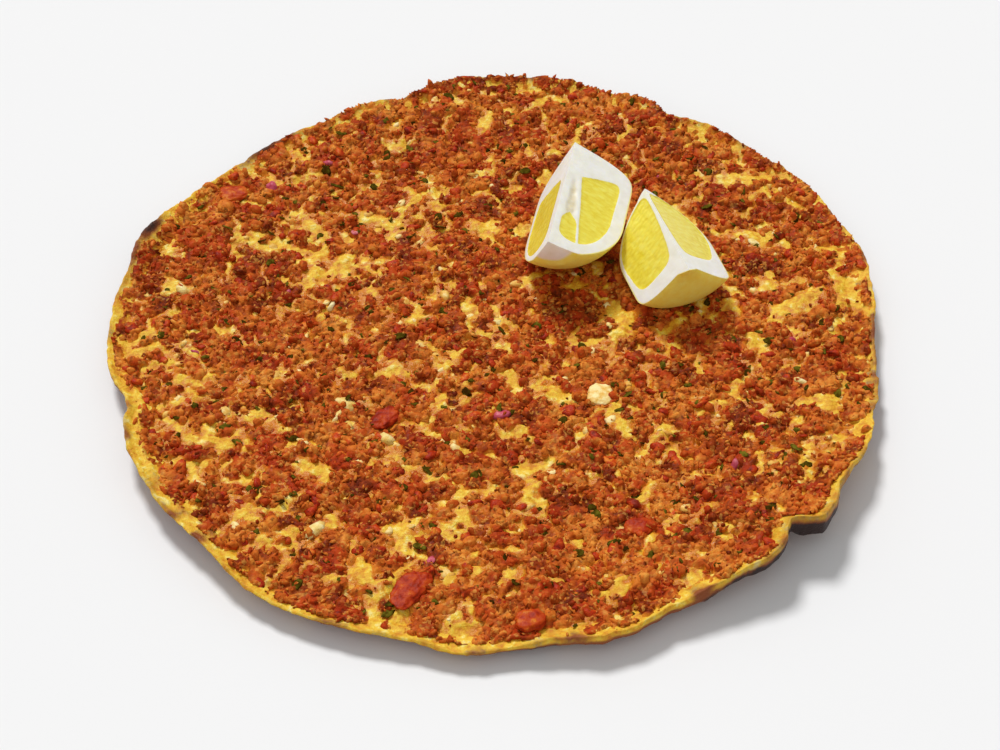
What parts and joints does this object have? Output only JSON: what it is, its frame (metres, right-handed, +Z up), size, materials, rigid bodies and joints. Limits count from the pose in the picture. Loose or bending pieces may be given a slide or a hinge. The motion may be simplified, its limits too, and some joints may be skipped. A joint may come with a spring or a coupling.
{
  "type": "lahmacun",
  "caption": "Thin, crisp round flatbread spread with spiced minced meat, tomato, onion and herbs, with lemon quarters lying on top.",
  "frame": {"origin": "under the middle of the bread's bounding box, on the surface that it lies on", "axes": "+Z up, +Y along the longest way across the bread, away from the side it is served from, +X to the right"},
  "size_m": [0.3064, 0.3252, 0.0369],
  "materials": {
    "baked_bread": "baked flatbread, golden with brown and charred spots, dry and slightly rough",
    "baked_meat": "baked minced meat, red-brown, crumbly and lightly oily",
    "tomato": "baked tomato, red and moist",
    "onion": "baked onion, pale and moist",
    "lemon": "fresh lemon, waxy yellow rind, white pith and moist flesh",
    "parsley": "baked chopped parsley, dark green and dry"
  },
  "bodies": {
    "root": {"flatbread": "baked_bread", "minced_meat": "baked_meat", "tomato_piece_front": "tomato", "tomato_piece_edge": "tomato", "tomato_piece_middle": "tomato", "tomato_piece_right": "tomato", "tomato_piece_back": "tomato", "onion_slice": "onion", "lemon_quarter_left": "lemon", "lemon_quarter_right": "lemon"}
  },
  "joints": []
}
